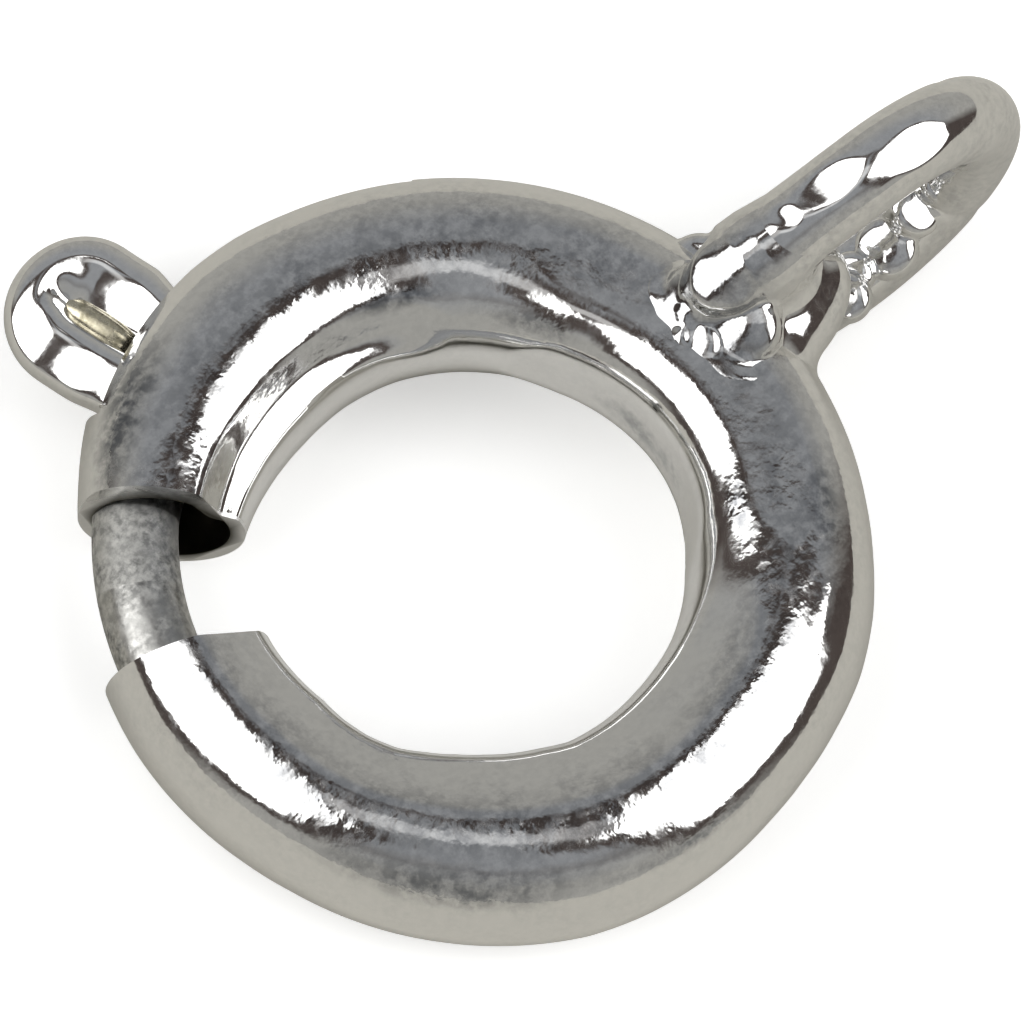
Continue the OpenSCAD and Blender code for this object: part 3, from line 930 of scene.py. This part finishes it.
def make_floor():
    made = bpy.data.materials.new("paper_floor")
    made.use_nodes = True
    tree = made.node_tree
    tree.nodes.clear()
    seen = node(tree, "ShaderNodeLightPath").outputs["Is Camera Ray"]
    place = node(tree, "ShaderNodeTexCoord").outputs["Object"]
    far = node(tree, "ShaderNodeVectorMath", {0: place}, operation="LENGTH").outputs["Value"]
    # Painted pool of light on the paper about the ring's middle, seen only in reflections
    near = calc(tree, "MAXIMUM", seen, spread(tree, far, *PAPER_PAINTED_LIGHT_POOL))
    paper = node(tree, "ShaderNodeBsdfDiffuse", {"Color": mixed(tree, near, PAPER_MIRRORED, PAPER_SEEN)})
    glow = node(tree, "ShaderNodeEmission", {"Strength": calc(tree, "MULTIPLY", seen, PAPER_GLOW)})
    both = node(tree, "ShaderNodeAddShader", {0: paper.outputs[0], 1: glow.outputs[0]})
    node(tree, "ShaderNodeOutputMaterial", {"Surface": both.outputs[0]})
    half = FLOOR_SIZE / 2
    mesh = bpy.data.meshes.new("floor")
    corners = [(x * half, y * half, cad_low.z) for x, y in ((-1, -1), (1, -1), (1, 1), (-1, 1))]
    mesh.from_pydata(corners, [], [(0, 1, 2, 3)])
    mesh.materials.append(made)
    floor = add_object("floor", mesh)


def from_camera(towards):
    return (right * towards[0] + up * towards[1] + back * towards[2]).normalized()


def soft_box(name, corners, share):
    """A flat soft light in the middle of a box's front, this large a share of its distance."""
    data = bpy.data.lights.new(name, "AREA")
    data.shape = "SQUARE"
    data.size = share * LIGHT_FAR
    data.energy = LIGHT_RADIANCE * math.pi * data.size ** 2
    light = add_object(name, data)
    light.visible_camera = False
    aim = sum((from_camera(corner) for corner in corners), Vector()).normalized()
    across = up.cross(aim).normalized()
    face = Matrix((across, aim.cross(across), aim)).transposed()
    light.matrix_world = Matrix.Translation(aim * LIGHT_FAR) @ face.to_4x4()


def facing_share(tree, towards, way):
    """How squarely the direction faces this way, from -1 to 1."""
    facing = node(tree, "ShaderNodeVectorMath", {0: towards, 1: tuple(way)}, operation="DOT_PRODUCT")
    return facing.outputs["Value"]


def towards_box(tree, towards, corners):
    """Above 0 where the direction falls on the box that these corners span, below 0 outside it."""
    inner = None
    for one, other in zip(corners, corners[1:] + corners[:1]):
        reach = facing_share(tree, towards, from_camera(other).cross(from_camera(one)).normalized())
        inner = reach if inner is None else calc(tree, "MINIMUM", inner, reach)
    return inner


def make_room():
    """The soft boxes' fronts in their dark frames, the bridge between them, the grey sweep overhead, behind
    and in front, and the dark room low down elsewhere."""
    world = bpy.data.worlds.new("studio_room")
    bpy.context.scene.world = world
    world.use_nodes = True
    tree = world.node_tree
    tree.nodes.clear()
    towards = node(tree, "ShaderNodeTexCoord").outputs["Generated"]
    height = node(tree, "ShaderNodeSeparateXYZ", {0: towards}).outputs["Z"]
    behind = facing_share(tree, towards, up)
    sweep = mixed(tree, spread(tree, height, *SWEEP_TURNS), SWEEP_LOW, SWEEP_HIGH)
    lit = calc(tree, "MAXIMUM", spread(tree, height, *SWEEP_LIT), spread(tree, behind, *SWEEP_BEHIND))
    lit = calc(tree, "MAXIMUM", lit, spread(tree, behind, *SWEEP_BEFORE))
    tone = mixed(tree, lit, ROOM_DARK, sweep)
    box = calc(tree, "MAXIMUM", towards_box(tree, towards, LEFT_BOX), towards_box(tree, towards, RIGHT_BOX))
    tone = mixed(tree, spread(tree, box, *FRAME_EDGE), tone, ROOM_DARK)
    bridge = spread(tree, towards_box(tree, towards, BRIDGE), *BRIDGE_EDGE, 0.0, BRIDGE_SHARE)
    tone = mixed(tree, bridge, tone, (LIGHT_RADIANCE,) * 3)
    tone = mixed(tree, spread(tree, box, *BOX_EDGE), tone, (LIGHT_RADIANCE,) * 3)
    air = node(tree, "ShaderNodeBackground", {"Color": tone, "Strength": 1.0})
    node(tree, "ShaderNodeOutputWorld", {"Surface": air.outputs[0]})


make_floor()
make_room()
soft_box("left_soft_box", LEFT_BOX, BOX_SHARE)
soft_box("right_soft_box", RIGHT_BOX, BOX_SHARE)
bpy.context.scene.view_settings.view_transform = "Standard"
